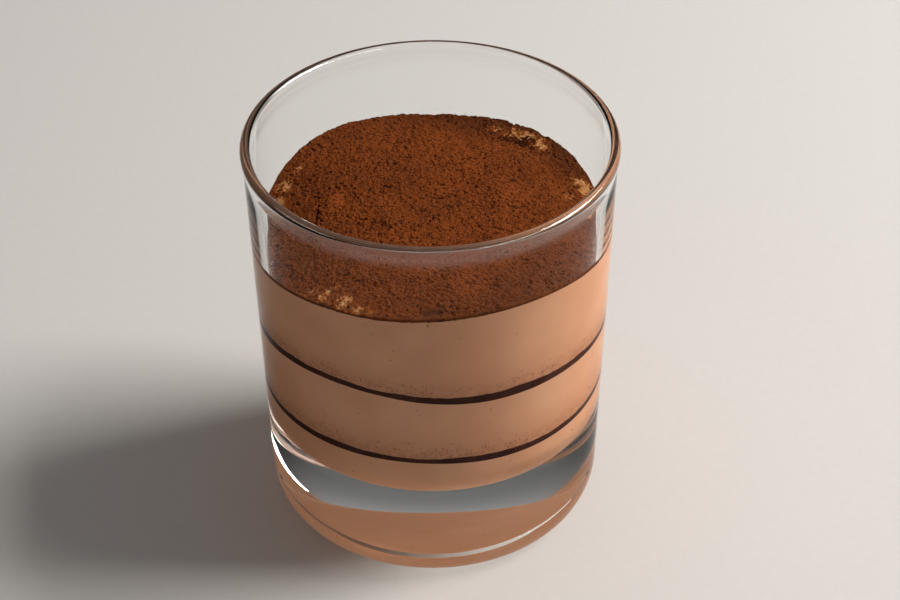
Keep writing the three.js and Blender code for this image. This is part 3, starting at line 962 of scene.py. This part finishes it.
POWDER_RELIEF = {
    "Lump Size": 4.5 * MM, "Lump Height": 0.9 * MM, "Crumb Size": 0.9 * MM, "Crumb Height": 0.4 * MM,
    "Grain Size": 0.45 * MM, "Grain Height": 0.3 * MM, "Pit Size": 0.9 * MM, "Pit Depth": 0.5 * MM,
    "Seed": 3.0,
}
CRUMBS = {
    "Density": 1.85 / MM**2, "Smallest": 0.18 * MM, "Largest": 0.8 * MM, "Flatness": 0.75,
    "Roughness": 0.12 * MM, "Seed": 5,
}
DUST = {
    "Density": 1.2 / MM**2, "Smallest": 0.05 * MM, "Largest": 0.24 * MM, "Flatness": 0.35,
    "Roughness": 0.02 * MM, "Seed": 9,
}
DUST_COLUMNS = 240
DUST_ROWS = 40
DUST_TOP = HEIGHT - 4 * MM
SMEARED = {"bearing": -125, "spread": 40}  # where the spoon dusted the wall more


def make_cocoa(powder, crumb_powder):
    coat = grow(powder_mesh(), powder_relief_tree(), POWDER_RELIEF)
    grains = grow(coat.copy(), scatter_tree("strew crumbs", crumb_powder, False), CRUMBS)
    grains.name = "cocoa_crumbs"
    return show(coat, powder), show(grains)


def wall_host():
    """The bare inner wall over the dessert, with how dusty each place is."""
    skin = Skin()
    low = waves_at(COCOA_EDGE, bearings(DUST_COLUMNS)) + COCOA_AT_WALL
    high = np.full(DUST_COLUMNS, DUST_TOP)
    heights = stack_rows(low, high, np.linspace(0, 1, DUST_ROWS))
    rows = [skin.ring(inner_radius(z) - 0.01 * MM, z, DUST_COLUMNS) for z in heights]
    for lower_row, upper_row in zip(rows, rows[1:]):
        skin.band(upper_row, lower_row)
    made = skin.mesh("wall_dust")
    _, bearing, _, _, z = places(made)
    over = (z - waves_at(COCOA_EDGE, bearing) - COCOA_AT_WALL) / MM
    apart = (np.degrees(bearing) - SMEARED["bearing"]) / SMEARED["spread"]
    streaks = np.clip(ragged(bearing, 31, 1.0), 0, 1) * np.exp(-(apart**2))
    streaks = streaks + 0.35 * np.clip(ragged(bearing, 32, 1.0), 0, 1)
    keep_values(made, "strewn", np.exp(-over / 0.8) + 0.03 * np.exp(-over / 7) + 0.05 * streaks)
    return made


def make_wall_dust(material):
    dust = grow(wall_host(), scatter_tree("strew dust", material, True), DUST)
    dust.name = "wall_dust"
    return show(dust)


# ---- Studio ----
CAMERA_PLACE = Vector((4.081, -458.478, 403.323)) * MM
CAMERA_PITCH = math.radians(37.4534)
CAMERA_ROLL = math.radians(-0.4294)
CAMERA_LENS = 100.0  # mm, on a sensor 36 mm wide


def make_camera():
    forward = Vector((0, math.cos(CAMERA_PITCH), -math.sin(CAMERA_PITCH)))
    level, upright = Vector((1, 0, 0)), Vector((0, math.sin(CAMERA_PITCH), math.cos(CAMERA_PITCH)))
    right = math.cos(CAMERA_ROLL) * level + math.sin(CAMERA_ROLL) * upright
    up = math.cos(CAMERA_ROLL) * upright - math.sin(CAMERA_ROLL) * level
    data = bpy.data.cameras.new("camera")
    data.lens = CAMERA_LENS
    data.sensor_width = 36.0
    data.clip_start = 0.01
    camera = bpy.data.objects.new("camera", data)
    turned = Matrix((right, up, -forward)).transposed().to_4x4()
    camera.matrix_world = Matrix.Translation(CAMERA_PLACE) @ turned
    bpy.context.scene.collection.objects.link(camera)
    bpy.context.scene.camera = camera


# The key lamp lights the dessert and throws the shadow. The panels only show as reflections.
LAMPS = {
    # name: (bearing, elevation, distance, width, height, watts, kinds of ray that see it)
    "key": (98, 42, 1.3, 0.585, 0.52, 23.5, ("diffuse", "glossy", "transmission")),
    "side panel": (117, 40, 1.3, 0.26, 0.5, 6.0, ("glossy", "transmission")),
    "front panel": (60, 41, 1.3, 1.1, 0.3, 8.0, ("glossy",)),
    "left card": (-84, 38, 1.3, 0.8, 0.3, 2.6, ("glossy",)),
}
LAMP_COLOUR = (1.0, 0.98, 0.96)
AIM = Vector((0, 0, 55 * MM))
# Light that the thick base gathers under the filling, which the renderer leaves out. Only matt
# surfaces receive it: no view, mirror image or view through glass shows the lamp.
GATHERED = {
    "place": (-13 * MM, -12 * MM, 0.5 * MM), "across": 18 * MM, "watts": 0.0017, "colour": (1, 0.97, 0.94),
}
SKY_COLOUR = (1.0, 0.98, 0.96)
SKY_LOW = 0.03
SKY_OVERHEAD = 0.62
SKY_CLIMB = 6.0  # how close to straight overhead the sky turns bright
# A paler patch low behind the glass.
BACKDROP = {"towards": (0, 0.8, 0.6), "strength": 0.13, "from": 0.7}


def make_lamps():
    for name, (bearing, elevation, distance, width, height, watts, seen_by) in LAMPS.items():
        turn, rise = math.radians(bearing), math.radians(elevation)
        away = Vector((math.sin(turn) * math.cos(rise), -math.cos(turn) * math.cos(rise), math.sin(rise)))
        data = bpy.data.lights.new(name, "AREA")
        data.shape = "RECTANGLE"
        data.size, data.size_y = width, height
        data.energy = watts
        data.color = LAMP_COLOUR
        lamp = bpy.data.objects.new(name, data)
        lamp.location = AIM + distance * away
        lamp.rotation_mode = "QUATERNION"
        lamp.rotation_quaternion = (-away).to_track_quat("-Z", "Y")
        lamp.visible_camera = False
        lamp.visible_diffuse = "diffuse" in seen_by
        lamp.visible_glossy = "glossy" in seen_by
        lamp.visible_transmission = "transmission" in seen_by
        bpy.context.scene.collection.objects.link(lamp)


def make_gathered_light():
    data = bpy.data.lights.new("gathered light", "AREA")
    data.shape = "DISK"
    data.size = GATHERED["across"]
    data.energy = GATHERED["watts"]
    data.color = GATHERED["colour"]
    lamp = bpy.data.objects.new("gathered light", data)
    lamp.location = GATHERED["place"]
    lamp.rotation_mode = "XYZ"
    lamp.rotation_euler = (math.pi, 0, 0)
    lamp.visible_camera = False
    lamp.visible_glossy = False
    lamp.visible_transmission = False
    bpy.context.scene.collection.objects.link(lamp)


def make_sky():
    world = bpy.data.worlds.new("studio")
    world.use_nodes = True
    tree = world.node_tree
    background = tree.nodes["Background"]
    background.inputs["Color"].default_value = (*SKY_COLOUR, 1)
    direction = node(tree, "ShaderNodeTexCoord").outputs["Generated"]
    near = vector_maths(tree, "DOT_PRODUCT", direction, BACKDROP["towards"], output=1)
    glow = maths(tree, "MULTIPLY", remap(tree, near, BACKDROP["from"], 1.0), BACKDROP["strength"])
    rise = maths(tree, "MAXIMUM", node(tree, "ShaderNodeSeparateXYZ", {0: direction}).outputs["Z"], 0.0)
    climbed = maths(tree, "POWER", rise, SKY_CLIMB)
    above = maths(tree, "MULTIPLY_ADD", climbed, SKY_OVERHEAD - SKY_LOW, SKY_LOW)
    tree.links.new(maths(tree, "ADD", glow, above), background.inputs["Strength"])
    bpy.context.scene.world = world


FLOOR_HALF = 3.0
FLOOR_DROP = 0.02 * MM  # so that the foot and the floor don't share a plane


def make_floor():
    mesh = bpy.data.meshes.new("floor")
    turns = ((-1, -1), (1, -1), (1, 1), (-1, 1))
    corners = [(FLOOR_HALF * x, FLOOR_HALF * y, -FLOOR_DROP) for x, y in turns]
    mesh.from_pydata(corners, [], [(0, 1, 2, 3)])
    show(mesh, pale_floor())


def set_render():
    scene = bpy.context.scene
    scene.view_settings.view_transform = "Standard"
    scene.cycles.max_bounces = 24
    scene.cycles.transmission_bounces = 24
    scene.cycles.glossy_bounces = 8
    scene.cycles.transparent_max_bounces = 24
    scene.cycles.caustics_reflective = False
    scene.cycles.caustics_refractive = False
    scene.cycles.use_denoising = True


# ---- Assembly ----
def place_piece(piece, slot, *stands_for):
    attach(piece, "root")
    if stands_for:
        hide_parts(*stands_for)


def build():
    mottle = mottle_group()
    cream, soaked = mascarpone(mottle), wet_cocoa(mottle)
    powder = cocoa_powder("cocoa powder", mottle, True)
    crumbs = cocoa_powder("cocoa crumbs", mottle, False)
    round_glass = bearings(CREAM_COLUMNS)
    lower_low, lower_high = seam_edges("lower", LOWER_LEVEL, round_glass)
    upper_low, upper_high = seam_edges("upper", UPPER_LEVEL, round_glass)

    tumbler = make_tumbler(clear_glass())
    bottom_band = make_bottom_band(lower_low, cream)
    lower_seam = make_layer("cocoa_seam_lower", lower_low, lower_high, SEAM_ROWS, soaked)
    middle_band = make_layer("mascarpone_middle", lower_high, upper_low, (*BAND_ROWS, 1), cream)
    upper_seam = make_layer("cocoa_seam_upper", upper_low, upper_high, SEAM_ROWS, soaked)
    top_band = make_top_band(upper_high, cream)
    keep_above(bottom_band)
    keep_above(middle_band, lambda bearing: seam_edges("lower", LOWER_LEVEL, bearing)[1])
    keep_above(top_band, lambda bearing: seam_edges("upper", UPPER_LEVEL, bearing)[1])
    coat, grains = make_cocoa(powder, crumbs)
    dust = make_wall_dust(crumbs)

    place_piece(tumbler, "clear_glass", "glass")
    place_piece(bottom_band, "mascarpone_cream", "cream_bottom")
    place_piece(lower_seam, "wet_cocoa", "cocoa_line_lower")
    place_piece(middle_band, "mascarpone_cream", "cream_middle")
    place_piece(upper_seam, "wet_cocoa", "cocoa_line_upper")
    place_piece(top_band, "mascarpone_cream", "cream_top")
    place_piece(coat, "cocoa_powder", "cocoa_top")
    place_piece(grains, "cocoa_powder")
    place_piece(dust, "cocoa_powder")


make_camera()
make_lamps()
make_gathered_light()
make_sky()
make_floor()
set_render()
build()
